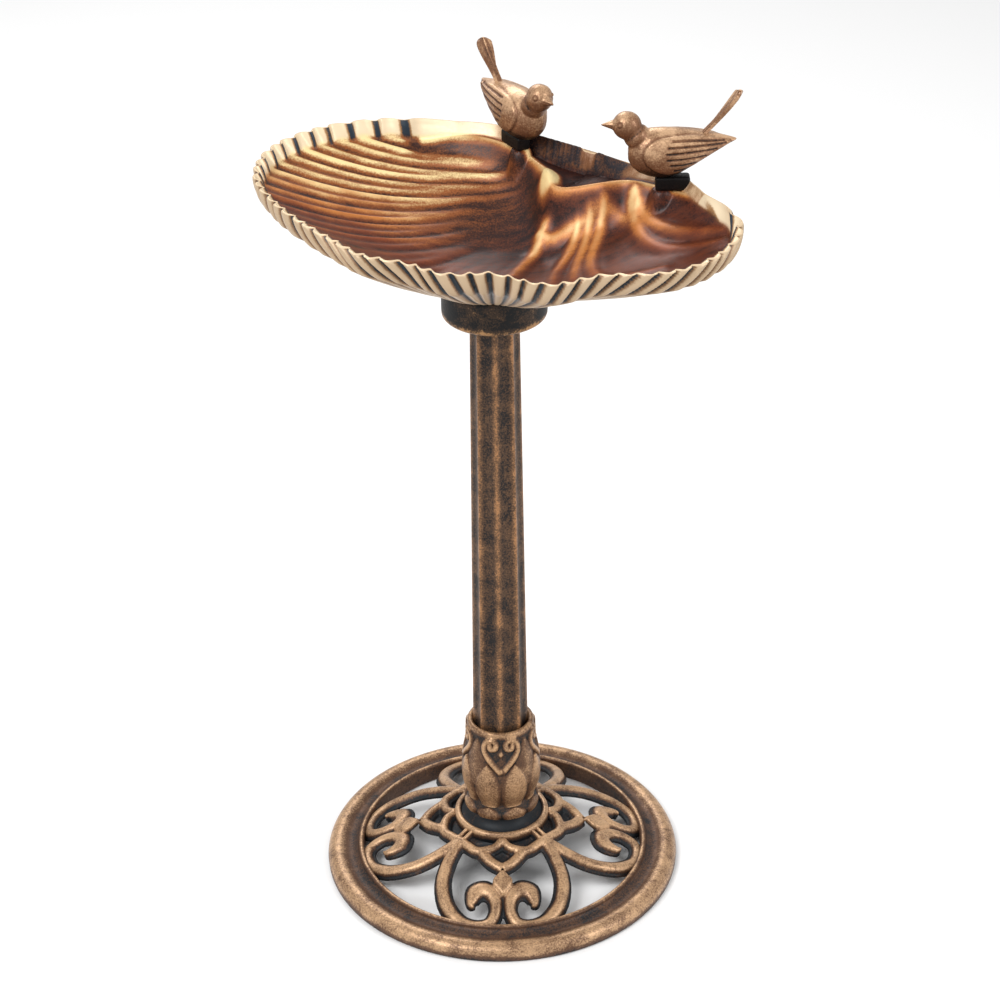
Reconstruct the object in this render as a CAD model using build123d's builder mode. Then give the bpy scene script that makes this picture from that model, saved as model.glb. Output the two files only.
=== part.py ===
from build123d import *

# Bird bath in millimetres, Z up. The origin is on the ground, on the column's axis. The bird bath
# faces -Y. A pierced round base carries a lotus socket, the socket holds an octagonal column, and
# the collar on the column takes the foot of a scallop-shell bowl. Two birds stand on the shell's
# hinge shelf. A tie rod inside the column draws base, socket, column and collar together.

import os
from math import cos, floor, pi, radians, sin

# --- driving dimensions ----------------------------------------------------------------------

# base ring
ring_outer_radius = 169.0
ring_width = 35.0
ring_height = 19.0
ring_bead_radius = 3.5
ring_channel_height = 11.5
ring_foot_width = 8.0
ring_hollow_height = 8.0

# pierced scrollwork that rises from the ring to the boss
strap_thickness = 8.0
strap_width = 10.0
crown_strap_width = 9.0
crown_bulge = 3.0
crown_drop = 2.0
lobe_reach = 15.0
cusp_reach = 2.0
link_half_width = 11.0

# boss in the middle of the base
boss_shoulder = 13.0
boss_height = 53.0
boss_bead_radius = 3.0
boss_wall = 4.0
boss_cove = 13.0

# column
column_length = 516.0
column_bottom_radius = 25.6
column_top_radius = 21.0
column_hollow = 1.2
column_wall = 2.6
column_arrises = 8

# lotus socket, measured outwards from the bore that the column stands in
socket_height = 94.0
socket_floor = 18.0
socket_gap = 1.8
socket_foot_swell = 4.1
socket_neck_swell = 1.6
socket_belly_swell = 8.6
socket_lip_width = 3.0
socket_spigot_height = 14.0

# collar that carries the bowl
collar_radius = 46.4
collar_skirt = 11.3
collar_web = 6.0
collar_cup_depth = 12.5
collar_edge_radius = 4.0
collar_wall = 8.0
seat_ring_thickness = 3.0
seat_ring_width = 8.0

# bowl: the longest radius of its rim, and the rim's shape every 15 degrees as shares of it,
# counter-clockwise from +X, with wide lobes left and right, a straight hinge side behind on the
# right and shallow lobes along the front
bowl_reach = 226.0
bowl_depth = 80.0
bowl_wall = 4.0
bowl_flutes = 48
bowl_flute_depth = 2.2
bowl_foot_wall = 5.0
rim_shape = (0.81, 0.74, 0.61, 0.58, 0.58, 0.62, 0.70, 0.77, 0.88, 0.97, 1.00, 0.95)
rim_shape += (0.84, 0.75, 0.70, 0.69, 0.65, 0.68, 0.66, 0.78, 0.79, 0.93, 0.98, 0.95)

# profile of the bowl from the collar outwards: share of the way to the rim, and share of the
# depth there, so that an open cone ends in a steep side wall
bowl_profile = ((0.02, 0.0), (0.30, 0.20), (0.60, 0.46), (0.80, 0.64), (0.92, 0.77), (1.0, 1.0))

# hinge shelf: how far its top lies below the rim, and its front edge from the back of the rim
# over the umbo to the right, as angle and share of the rim's radius there
shelf_drop = 10.0
shelf_edge = (
    (112, 1.10),
    (101, 0.91),
    (83, 0.82),
    (66, 0.74),
    (51, 0.59),
    (35, 0.66),
    (28, 0.81),
    (20, 0.85),
    (8, 0.90),
    (-7, 1.03),
)

# birds: where each stands, as angle and distance inside the rim, and the way it looks
left_bird_perch = (78.0, 20.5)
right_bird_perch = (12.0, 22.0)
left_bird_heading = -58.0
right_bird_heading = 180.0
bird_head_radius = 11.0
plinth_radius = 8.0
plinth_forward = 6.0
plinth_height = 12.0
tail_length = 46.0
tail_width = 15.0
tail_root_width = 7.0
tail_root_depth = 7.0
tail_thickness = 3.6
tail_slope = 45.0

# fasteners
rod_radius = 4.0
rod_overhang = 2.0
nut_across_flats = 13.0
nut_height = 6.5
washer_radius = 12.0
washer_thickness = 1.6
bird_screw_radius = 2.0
bird_screw_head_radius = 3.8
bird_screw_head_height = 2.6
bird_screw_grip = 8.0
bird_screw_bite = 20.0

# clearances
rod_clearance = 0.5
column_gap = 0.4
spigot_gap = 1.0
land_gap = 0.5
foot_gap = 0.4
screw_gap = 0.2
head_gap = 0.8
tail_gap = 0.1
thread_gap = 0.05

# --- places that follow from the dimensions --------------------------------------------------

socket_bore = column_bottom_radius + socket_gap
socket_lip_radius = socket_bore + socket_lip_width
socket_foot_radius = socket_bore + socket_foot_swell
boss_land_radius = socket_foot_radius + land_gap
boss_radius = boss_land_radius + boss_shoulder
boss_land_height = boss_height + boss_cove
boss_under = boss_land_height - boss_wall
ring_inner_radius = ring_outer_radius - ring_width
lobe_radius = boss_radius + lobe_reach
socket_top = boss_land_height + socket_height
column_bottom = boss_land_height + socket_floor
column_top = column_bottom + column_length
collar_bottom = column_top - collar_skirt
collar_floor = column_top + collar_web
cup_radius = collar_radius - collar_wall
bowl_bottom = collar_floor + collar_cup_depth
bowl_rim = bowl_bottom + bowl_depth
shelf_top = bowl_rim - shelf_drop
foot_bottom = collar_floor + seat_ring_thickness
foot_radius = cup_radius - foot_gap
bird_bottom = shelf_top + plinth_height
screw_seat = shelf_top - bird_screw_grip


def polar(radius, degrees):
    return (radius * cos(radians(degrees)), radius * sin(radians(degrees)))


def rim_radius(degrees):
    """Radius of the bowl's rim, a smooth curve through rim_shape."""
    step = 360 / len(rim_shape)
    k = floor(degrees / step)
    t = degrees / step - k
    a, b, c, d = (rim_shape[(k + j) % len(rim_shape)] for j in (-1, 0, 1, 2))
    cubic = 1.5 * (b - c) + (d - a) / 2
    return bowl_reach * (b + t * ((c - a) / 2 + t * (a - 2.5 * b + 2 * c - d / 2 + t * cubic)))


def perch(angle, inset):
    return polar(rim_radius(angle) - inset, angle)


left_bird_place = perch(*left_bird_perch)
right_bird_place = perch(*right_bird_perch)


def write(piece, name):
    piece.label = name
    export_step(piece, f"parts/{name}.step")


os.makedirs("parts", exist_ok=True)

# --- base ------------------------------------------------------------------------------------

# the top surface of the scrollwork falls from the boss to the ring in one gentle arc
crown_top = (boss_radius - boss_bead_radius, boss_height - crown_drop)
crown_end = (ring_inner_radius + ring_bead_radius, ring_height - 2 * crown_drop)
crown_middle = (
    (crown_top[0] + crown_end[0]) / 2,
    (crown_top[1] + crown_end[1]) / 2 + crown_bulge,
)

with BuildPart() as crown_shell:
    with BuildSketch(Plane.XZ):
        with BuildLine():
            ThreePointArc(crown_top, crown_middle, crown_end)
            Line(crown_end, (crown_end[0], crown_end[1] - strap_thickness))
            ThreePointArc(
                (crown_end[0], crown_end[1] - strap_thickness),
                (crown_middle[0], crown_middle[1] - strap_thickness),
                (crown_top[0], crown_top[1] - strap_thickness),
            )
            Line((crown_top[0], crown_top[1] - strap_thickness), crown_top)
        make_face()
    revolve(axis=Axis.Z)



def motif_point(side, share):
    """A point of the front motif: share runs from 0 at the boss to 1 under the ring's bead."""
    return (side, -boss_radius - share * (crown_end[0] - boss_radius))


# one half of a scroll: from the diagonal lobe out to the ring, along it, back up beside the
# motif's axis and over into a curled head
half_scroll = [polar(lobe_radius, -45)]
half_scroll += [
    motif_point(side, share)
    for side, share in (
        (53, 0.24),
        (56, 0.46),
        (53, 0.68),
        (42, 0.85),
        (27, 0.92),
        (13, 0.91),
        (6.5, 0.79),
        (8, 0.65),
        (17, 0.56),
        (27, 0.60),
        (30, 0.71),
    )
]
chevron_tip = motif_point(0, 0.36)
chevron_side = polar(lobe_radius, -65)
link = [motif_point(0, 0.34), motif_point(link_half_width, 0.51), motif_point(0, 0.64)]

with BuildSketch(mode=Mode.PRIVATE) as half_motif:
    with BuildLine(mode=Mode.PRIVATE) as scroll_line:
        Spline(*half_scroll)
    trace(scroll_line.line, line_width=strap_width)
    with BuildLine(mode=Mode.PRIVATE) as chevron_line:
        Line(chevron_tip, chevron_side)
    trace(chevron_line.line, line_width=crown_strap_width)
    with BuildLine(mode=Mode.PRIVATE) as lobe_line:
        ThreePointArc(
            (0, -boss_radius - cusp_reach),
            polar(lobe_radius - cusp_reach, -67.5),
            polar(lobe_radius, -45),
        )
    trace(lobe_line.line, line_width=crown_strap_width)
    with BuildLine(mode=Mode.PRIVATE) as bar_line:
        Line(polar(boss_radius - boss_wall, -45), polar(lobe_radius, -45))
    trace(bar_line.line, line_width=crown_strap_width)
    with BuildLine():
        Polyline(*link, close=True)
    make_face()

with BuildPart() as scrollwork:
    with BuildSketch():
        with PolarLocations(0, 4):
            add(half_motif.sketch)
            add(half_motif.sketch.mirror(Plane.YZ))
    extrude(amount=boss_land_height)
    add(crown_shell.part, mode=Mode.INTERSECT)

with BuildPart() as base:
    with BuildSketch(Plane.XZ):
        with BuildLine():
            bead_edge = ring_inner_radius + 2 * ring_bead_radius
            bead_base = ring_height - ring_bead_radius
            Line((ring_inner_radius, 0), (ring_inner_radius, bead_base))
            ThreePointArc(
                (ring_inner_radius, bead_base),
                (ring_inner_radius + ring_bead_radius, ring_height),
                (bead_edge, bead_base),
            )
            roll_start = (ring_outer_radius - 15, ring_height - 4)
            roll_end = (ring_outer_radius, 5)
            ThreePointArc((bead_edge, bead_base), (bead_edge + 6, ring_channel_height), roll_start)
            ThreePointArc(roll_start, (ring_outer_radius - 5, ring_height - 4), roll_end)
            Polyline(roll_end, (ring_outer_radius - 1, 0), (ring_inner_radius, 0))
        make_face()
    revolve(axis=Axis.Z)
    with BuildSketch(Plane.XZ):
        with BuildLine():
            Polyline(
                (ring_inner_radius + ring_foot_width, 0),
                (ring_inner_radius + ring_foot_width, ring_hollow_height),
                (ring_outer_radius - ring_foot_width, ring_hollow_height),
                (ring_outer_radius - ring_foot_width, 0),
                close=True,
            )
        make_face()
    revolve(axis=Axis.Z, mode=Mode.SUBTRACT)
    add(scrollwork.part)
    with BuildSketch(Plane.XZ):
        with BuildLine():
            rim_base = boss_height - boss_bead_radius
            rim_inside = boss_radius - 2 * boss_bead_radius
            Polyline(
                (rod_radius + rod_clearance, boss_under),
                (rod_radius + rod_clearance, boss_land_height),
                (boss_land_radius, boss_land_height),
            )
            ThreePointArc(
                (boss_land_radius, boss_land_height),
                (boss_land_radius + 2, boss_height + boss_cove / 4),
                (rim_inside, rim_base),
            )
            ThreePointArc(
                (rim_inside, rim_base),
                (boss_radius - boss_bead_radius, boss_height),
                (boss_radius, rim_base),
            )
            Polyline(
                (boss_radius, rim_base),
                (boss_radius, rim_base - strap_thickness),
                (boss_radius - boss_wall, rim_base - strap_thickness),
                (boss_land_radius - boss_wall, boss_under - boss_wall),
                (boss_land_radius - boss_wall, boss_under),
                (rod_radius + rod_clearance, boss_under),
            )
        make_face()
    revolve(axis=Axis.Z)
write(base.part, "base")

# --- lotus socket ----------------------------------------------------------------------------

column_bore = (column_bottom_radius - column_wall) * cos(pi / column_arrises) - column_hollow
spigot_radius = column_bore - spigot_gap

with BuildPart() as lotus_socket:
    with BuildSketch(Plane.XZ):
        with BuildLine():
            bottom, top = boss_land_height, socket_top
            foot_edge = (socket_foot_radius - 2, bottom)
            lip_edge = (socket_lip_radius, top - 4)
            Line((rod_radius + rod_clearance, bottom), foot_edge)
            Spline(
                foot_edge,
                (socket_foot_radius, bottom + 4),
                (socket_bore + socket_neck_swell, bottom + 11),
                (socket_bore + socket_belly_swell, bottom + 39),
                (socket_lip_radius + 1.5, bottom + 72),
                lip_edge,
            )
            ThreePointArc(lip_edge, (socket_bore + socket_lip_width / 2, top), (socket_bore, top - 4))
            Polyline(
                (socket_bore, top - 4),
                (socket_bore, column_bottom),
                (spigot_radius, column_bottom),
                (spigot_radius, column_bottom + socket_spigot_height),
                (rod_radius + rod_clearance, column_bottom + socket_spigot_height),
                (rod_radius + rod_clearance, bottom),
            )
        make_face()
    revolve(axis=Axis.Z)
write(lotus_socket.part, "lotus_socket")

# --- column ----------------------------------------------------------------------------------


def column_outline(radius, hollow):
    """Eight slightly hollowed faces between arrises, one arris facing the front."""
    middle = radius * cos(pi / column_arrises) - hollow
    for k in range(column_arrises):
        turn = 360 / column_arrises
        start = k * turn
        ThreePointArc(
            polar(radius, start),
            polar(middle, start + turn / 2),
            polar(radius, start + turn),
        )


with BuildPart() as column:
    for shrink, how in ((0, Mode.ADD), (column_wall, Mode.SUBTRACT)):
        for level, radius in ((column_bottom, column_bottom_radius), (column_top, column_top_radius)):
            with BuildSketch(Plane.XY.offset(level)):
                with BuildLine():
                    column_outline(radius - shrink, column_hollow)
                make_face()
        loft(ruled=True, mode=how)
write(column.part, "column")

# --- collar ----------------------------------------------------------------------------------

with BuildPart() as column_collar:
    with BuildSketch(Plane.XZ):
        with BuildLine():
            bore = column_top_radius + column_gap
            Polyline(
                (rod_radius + rod_clearance, collar_floor),
                (rod_radius + rod_clearance, column_top),
                (bore, column_top),
                (bore, collar_bottom),
                (collar_radius - collar_edge_radius, collar_bottom),
            )
            ThreePointArc(
                (collar_radius - collar_edge_radius, collar_bottom),
                (
                    collar_radius - collar_edge_radius * (1 - cos(pi / 4)),
                    collar_bottom + collar_edge_radius * (1 - sin(pi / 4)),
                ),
                (collar_radius, collar_bottom + collar_edge_radius),
            )
            Polyline(
                (collar_radius, collar_bottom + collar_edge_radius),
                (collar_radius, bowl_bottom - foot_gap),
                (cup_radius, bowl_bottom - foot_gap),
                (cup_radius, collar_floor),
                (rod_radius + rod_clearance, collar_floor),
            )
        make_face()
    revolve(axis=Axis.Z)
write(column_collar.part, "column_collar")

with BuildPart() as seat_ring:
    with BuildSketch(Plane.XY.offset(collar_floor)):
        Circle(foot_radius)
        Circle(foot_radius - seat_ring_width, mode=Mode.SUBTRACT)
    extrude(amount=seat_ring_thickness)
write(seat_ring.part, "seat_ring")

# --- bowl ------------------------------------------------------------------------------------


def shell_outline(share, inset):
    """Fluted section of the bowl, share 0 at the collar and 1 at the rim."""
    points = []
    for k in range(4 * bowl_flutes):
        angle = 90 * k / bowl_flutes
        reach = collar_radius + share * (rim_radius(angle) - collar_radius)
        flute = bowl_flute_depth * share**2 * cos(radians(bowl_flutes * angle))
        points.append(polar(reach - flute - inset, angle))
    return points


def shell_sections(lift, inset):
    """Sketches of the bowl's outline at each level, raised and drawn in by the wall."""
    sketches = []
    for share, height in bowl_profile:
        with BuildSketch(Plane.XY.offset(bowl_bottom + lift + bowl_depth * height)) as section:
            with BuildLine():
                Spline(*shell_outline(share, inset), periodic=True)
            make_face()
        sketches.append(section.sketch)
    return sketches


shelf_line = [polar(share * rim_radius(angle), angle) for angle, share in shelf_edge]
beyond_shelf = polar(2 * bowl_reach, (shelf_edge[0][0] + shelf_edge[-1][0]) / 2)

with BuildPart() as bowl_hollow:
    loft(shell_sections(bowl_wall, bowl_wall))
    with BuildSketch(Plane.XY.offset(bowl_bottom)):
        with BuildLine():
            Spline(*shelf_line)
            Polyline(shelf_line[-1], beyond_shelf, shelf_line[0])
        make_face()
    extrude(amount=shelf_top - bowl_bottom, mode=Mode.SUBTRACT)

with BuildPart() as bowl:
    loft(shell_sections(0, 0))
    with BuildSketch(Plane.XY.offset(bowl_rim)):
        Circle(2 * bowl_reach)
    extrude(amount=2 * bowl_wall, mode=Mode.SUBTRACT)
    add(bowl_hollow.part, mode=Mode.SUBTRACT)
    with BuildSketch(Plane.XY.offset(foot_bottom)):
        Circle(foot_radius)
        Circle(foot_radius - bowl_foot_wall, mode=Mode.SUBTRACT)
    extrude(amount=bowl_bottom - foot_bottom + bowl_wall / 2)
    with BuildSketch(Plane.XY.offset(collar_floor)):
        with Locations(left_bird_place, right_bird_place):
            Circle(bird_screw_head_radius + head_gap)
    extrude(amount=screw_seat - collar_floor, mode=Mode.SUBTRACT)
    with BuildSketch(Plane.XY.offset(collar_floor)):
        with Locations(left_bird_place, right_bird_place):
            Circle(bird_screw_radius + screw_gap)
    extrude(amount=bowl_rim - collar_floor, mode=Mode.SUBTRACT)
write(bowl.part, "bowl")

# --- birds -----------------------------------------------------------------------------------

# cross-sections of the body from breast to wing tips: distance forward of the feet, height of
# the middle, half width and half height
body_sections = (
    (34, 21, 5, 6),
    (27, 22, 14, 16),
    (12, 22.5, 19, 22.5),
    (-6, 25, 18, 20),
    (-24, 30, 14, 12),
    (-40, 32, 10, 6.5),
    (-54, 33, 4, 2),
)
head_place = (37, 48)
neck_place, neck_radius = (30, 39), 11.5
beak_sections = ((45, 47.5, 5), (58, 49, 0.8))
tail_place = (-28, 37)


def bird_frame(place, heading):
    """Plane under the bird's belly, X forward, with its plinth over the place."""
    ahead = Vector(*polar(1, heading))
    origin = Vector(*place, bird_bottom) - plinth_forward * ahead
    return Plane(origin=origin, x_dir=ahead, z_dir=(0, 0, 1))


def spot(frame, forward, height):
    return frame.from_local_coords((forward, 0, height))


def across(frame, forward, height):
    """Plane across the bird, its X to the side and its Y up."""
    return Plane(origin=spot(frame, forward, height), x_dir=frame.y_dir, z_dir=frame.x_dir)


def along_tail(frame):
    """Plane of the tail, its X to the side and its Y towards the tail's tip."""
    up_back = spot(frame, -cos(radians(tail_slope)), sin(radians(tail_slope))) - spot(frame, 0, 0)
    return Plane(origin=spot(frame, *tail_place), x_dir=frame.y_dir, z_dir=frame.y_dir.cross(up_back))


def make_bird(frame):
    with BuildPart() as bird:
        for forward, height, half_width, half_height in body_sections:
            with BuildSketch(across(frame, forward, height)):
                Ellipse(half_width, half_height)
        loft()
        with Locations(spot(frame, *neck_place)):
            Sphere(neck_radius)
        with Locations(spot(frame, *head_place)):
            Sphere(bird_head_radius)
        for forward, height, radius in beak_sections:
            with BuildSketch(across(frame, forward, height)):
                Circle(radius)
        loft()
        with BuildSketch(frame.offset(-plinth_height)):
            with Locations((plinth_forward, 0)):
                Circle(plinth_radius)
        extrude(amount=2 * plinth_height)
        with BuildSketch(frame.offset(-plinth_height)):
            with Locations((plinth_forward, 0)):
                Circle(bird_screw_radius + thread_gap)
        extrude(amount=bird_screw_bite + screw_gap, mode=Mode.SUBTRACT)
        with BuildSketch(along_tail(frame)):
            with Locations((0, tail_root_depth)):
                Rectangle(tail_root_width + 2 * tail_gap, 4 * tail_root_depth + 2 * tail_gap)
        extrude(amount=tail_thickness / 2 + tail_gap, both=True, mode=Mode.SUBTRACT)
    return bird.part


def make_tail(frame):
    with BuildPart() as tail:
        with BuildSketch(along_tail(frame)):
            with BuildLine():
                half_root, half_tip = tail_root_width / 2, tail_width / 2
                shoulder, end = 2 * tail_root_depth, tail_length - tail_width / 2
                Polyline(
                    (-half_tip, end),
                    (-half_root, shoulder),
                    (-half_root, -tail_root_depth),
                    (half_root, -tail_root_depth),
                    (half_root, shoulder),
                    (half_tip, end),
                )
                ThreePointArc((half_tip, end), (0, tail_length), (-half_tip, end))
            make_face()
        extrude(amount=tail_thickness / 2, both=True)
    return tail.part


perches = {
    "left_bird": bird_frame(left_bird_place, left_bird_heading),
    "right_bird": bird_frame(right_bird_place, right_bird_heading),
}
for name, frame in perches.items():
    write(make_bird(frame), name)
    write(make_tail(frame), f"{name}_tail")

with BuildPart() as bird_screws:
    with BuildSketch(Plane.XY.offset(screw_seat)):
        with Locations(left_bird_place, right_bird_place):
            Circle(bird_screw_radius)
    extrude(amount=bird_screw_grip + bird_screw_bite)
    with BuildSketch(Plane.XY.offset(screw_seat)):
        with Locations(left_bird_place, right_bird_place):
            Circle(bird_screw_head_radius)
    extrude(amount=-bird_screw_head_height)
write(bird_screws.part, "bird_screws")

# --- tie rod ---------------------------------------------------------------------------------

lower_nut = boss_under - washer_thickness - nut_height
upper_nut = collar_floor + washer_thickness

with BuildPart() as tie_rod:
    with BuildSketch(Plane.XY.offset(lower_nut - rod_overhang)):
        Circle(rod_radius)
    extrude(amount=upper_nut + nut_height - lower_nut + 2 * rod_overhang)
write(tie_rod.part, "tie_rod")

with BuildPart() as rod_washers:
    for seat in (boss_under - washer_thickness, collar_floor):
        with BuildSketch(Plane.XY.offset(seat)):
            Circle(washer_radius)
            Circle(rod_radius + rod_clearance, mode=Mode.SUBTRACT)
        extrude(amount=washer_thickness)
write(rod_washers.part, "rod_washers")

with BuildPart() as rod_nuts:
    for seat in (lower_nut, upper_nut):
        with BuildSketch(Plane.XY.offset(seat)):
            RegularPolygon(nut_across_flats / 2, 6, major_radius=False)
            Circle(rod_radius + thread_gap, mode=Mode.SUBTRACT)
        extrude(amount=nut_height)
write(rod_nuts.part, "rod_nuts")
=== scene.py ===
from math import atan2, cos, pi, radians, sin

import bmesh
import bpy
import numpy as np
from mathutils import Matrix, Vector


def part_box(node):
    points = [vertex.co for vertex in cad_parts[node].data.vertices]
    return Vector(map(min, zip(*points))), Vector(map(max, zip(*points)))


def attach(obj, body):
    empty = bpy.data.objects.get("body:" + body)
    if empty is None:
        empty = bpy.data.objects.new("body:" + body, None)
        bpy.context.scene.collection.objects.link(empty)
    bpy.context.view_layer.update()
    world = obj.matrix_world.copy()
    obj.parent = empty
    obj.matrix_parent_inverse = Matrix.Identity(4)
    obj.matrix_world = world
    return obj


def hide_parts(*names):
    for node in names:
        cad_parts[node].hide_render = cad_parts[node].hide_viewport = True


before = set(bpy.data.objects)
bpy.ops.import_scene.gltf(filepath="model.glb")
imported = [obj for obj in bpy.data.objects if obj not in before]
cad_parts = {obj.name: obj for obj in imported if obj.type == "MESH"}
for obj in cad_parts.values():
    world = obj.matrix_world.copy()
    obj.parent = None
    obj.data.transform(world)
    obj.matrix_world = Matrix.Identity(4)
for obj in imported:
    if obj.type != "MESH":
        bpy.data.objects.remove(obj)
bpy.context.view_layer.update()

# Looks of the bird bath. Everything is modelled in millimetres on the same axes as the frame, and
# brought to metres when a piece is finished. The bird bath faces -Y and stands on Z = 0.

MM = 0.001

# --- sizes shared with the CAD, in millimetres ---


def lowest(node):
    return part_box(node)[0] / MM


def highest(node):
    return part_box(node)[1] / MM


ring_outer_radius = highest("base").x
ring_width = 35.0
ring_inner_radius = ring_outer_radius - ring_width
boss_land_height = highest("base").z
boss_radius = 45.0
lobe_radius = 60.0
crown_end_radius = ring_inner_radius + 3.5
crown_start_radius, crown_start_height = 40.0, 52.0
crown_slope, crown_curve = 0.26, 0.0014
rod_hole = 4.5

socket_top = highest("lotus_socket").z
column_bottom, column_top = lowest("column").z, highest("column").z
column_bottom_radius = highest("column").x
column_top_radius = 21.0
collar_bottom, collar_top = lowest("column_collar").z, highest("column_collar").z
collar_radius = highest("column_collar").x
collar_overhang = 2.5
arris_margin = 0.8
petal_radius = 33
cup_radius = collar_radius - 8.0
cup_floor = column_top + 6.0

bowl_reach = 226.0
bowl_foot = lowest("bowl").z
bowl_bottom = collar_top + 0.4
bowl_rim = highest("bowl").z
foot_radius = cup_radius - 0.4
rim_shape = (0.81, 0.74, 0.61, 0.58, 0.58, 0.62, 0.70, 0.77, 0.88, 0.97, 1.00, 0.95)
rim_shape += (0.84, 0.75, 0.70, 0.69, 0.65, 0.68, 0.66, 0.78, 0.79, 0.93, 0.98, 0.95)

bird_bottom = bowl_rim + 2.0
perch_height = 12.0
plinth_forward = 6.0
left_bird_perch, left_bird_heading = (78.0, 20.5), -58.0
right_bird_perch, right_bird_heading = (12.0, 22.0), 180.0
tail_place = (-28.0, 37.0)
tail_length, right_tail_length = 46.0, 52.0
tail_width = 15.0
tail_root_width = 7.0
tail_slope = 45.0


# --- small tools ---


def polar(radius, angle):
    return (radius * cos(radians(angle)), radius * sin(radians(angle)))


def polar_points(radius, angle):
    return radius * np.cos(np.radians(angle)), radius * np.sin(np.radians(angle))


def step(low, high, value):
    """0 below low, 1 above high, and a smooth rise between."""
    t = np.clip((value - low) / (high - low), 0, 1)
    return t * t * (3 - 2 * t)


def arc(start, middle, end, pieces):
    """Points on the circle through three points, without the first one."""
    a, b, c = Vector(start), Vector(middle), Vector(end)
    ab, ac = b - a, c - a
    twice_area = 2 * (ab.x * ac.y - ab.y * ac.x)
    centre = a + Vector(
        (
            (ac.y * ab.length_squared - ab.y * ac.length_squared) / twice_area,
            (ab.x * ac.length_squared - ac.x * ab.length_squared) / twice_area,
        )
    )
    first = atan2(a.y - centre.y, a.x - centre.x)
    turn = atan2(c.y - centre.y, c.x - centre.x) - first
    way = 1 if twice_area > 0 else -1
    turn = turn % (way * 2 * pi)
    radius = (a - centre).length
    bearings = [first + turn * k / pieces for k in range(1, pieces + 1)]
    return [(centre.x + radius * cos(b), centre.y + radius * sin(b)) for b in bearings]


def curve_through(a, b, c, d, t):
    """A Catmull-Rom curve from b to c, t of the way along."""
    cubic = 1.5 * (b - c) + (d - a) / 2
    return b + t * ((c - a) / 2 + t * (a - 2.5 * b + 2 * c - d / 2 + t * cubic))


def smooth_line(points, pieces):
    """A smooth curve through the points, as an array."""
    p = np.array(points, float)
    p = np.vstack([2 * p[0] - p[1], p, 2 * p[-1] - p[-2]])
    t = np.linspace(0, 1, pieces, endpoint=False)[:, None]
    spans = [curve_through(a, b, c, d, t) for a, b, c, d in zip(p, p[1:], p[2:], p[3:])]
    return np.vstack(spans + [p[-2:-1]])


def spun(profile, steps):
    """A solid of revolution from a half section of (radius, height) points."""
    bm = bmesh.new()
    verts = [bm.verts.new((radius, 0, height)) for radius, height in profile]
    edges = [bm.edges.new(pair) for pair in zip(verts, verts[1:])]
    edges.append(bm.edges.new((verts[-1], verts[0])))
    spin(bm, verts + edges, steps)
    return bm


def face_outward(bm):
    bmesh.ops.recalc_face_normals(bm, faces=bm.faces)


def spin(bm, geometry, steps):
    bmesh.ops.spin(
        bm, geom=geometry, cent=(0, 0, 0), axis=(0, 0, 1), dvec=(0, 0, 0), angle=2 * pi, steps=steps,
        use_merge=True,
    )
    bmesh.ops.remove_doubles(bm, verts=bm.verts, dist=1e-5)
    face_outward(bm)


def places(bm):
    return np.array([v.co for v in bm.verts]).reshape(-1, 3)


def from_axis(place):
    """Distance of each point from the column's axis."""
    return np.hypot(place[:, 0], place[:, 1])


def move(bm, positions):
    for vert, position in zip(bm.verts, positions.tolist()):
        vert.co = position


def note(bm, name, values):
    """Stores one number for each vertex, which the materials read."""
    layer = bm.verts.layers.float.get(name) or bm.verts.layers.float.new(name)
    for vert, value in zip(bm.verts, np.broadcast_to(values, len(bm.verts)).tolist()):
        vert[layer] = value


def near_line(points, line):
    """Distance of each point from a line of points, and the place along it, 0 to 1."""
    best = np.full(len(points), 1e9)
    along = np.zeros(len(points))
    for k, (a, b) in enumerate(zip(line, line[1:])):
        run = b - a
        t = np.clip(((points - a) @ run) / (run @ run), 0, 1)
        gap = np.linalg.norm(points - a - t[:, None] * run, axis=1)
        closer = gap < best
        best = np.where(closer, gap, best)
        along = np.where(closer, (k + t) / (len(line) - 1), along)
    return best, along


def skin_over(bm, loops):
    """Joins rings of vertices one after the other and closes both ends."""
    for ring, following in zip(loops, loops[1:]):
        near = set(ring) | set(following)
        edges = {e for v in near for e in v.link_edges if e.is_boundary or not e.link_faces}
        edges = [e for e in edges if e.verts[0] in near and e.verts[1] in near]
        bmesh.ops.bridge_loops(bm, edges=edges)
    bmesh.ops.holes_fill(bm, edges=[e for e in bm.edges if e.is_boundary], sides=0)
    face_outward(bm)


def as_mesh(name, bm):
    mesh = bpy.data.meshes.new(name)
    bm.to_mesh(mesh)
    bm.free()
    return mesh


def add_object(name, data):
    made = bpy.data.objects.new(name, data)
    bpy.context.scene.collection.objects.link(made)
    return made


def finish(name, bm, body, slot, *materials, stands_for=()):
    """Turns a bmesh in millimetres into a piece of the bird bath."""
    bmesh.ops.scale(bm, verts=bm.verts, vec=(MM, MM, MM))
    mesh = as_mesh(name, bm)
    mesh.shade_smooth()
    mesh.set_sharp_from_angle(angle=radians(50))
    for material in materials:
        mesh.materials.append(material)
    piece = add_object(name, mesh)
    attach(piece, body)
    if stands_for:
        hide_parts(*stands_for)
    return piece


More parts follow.
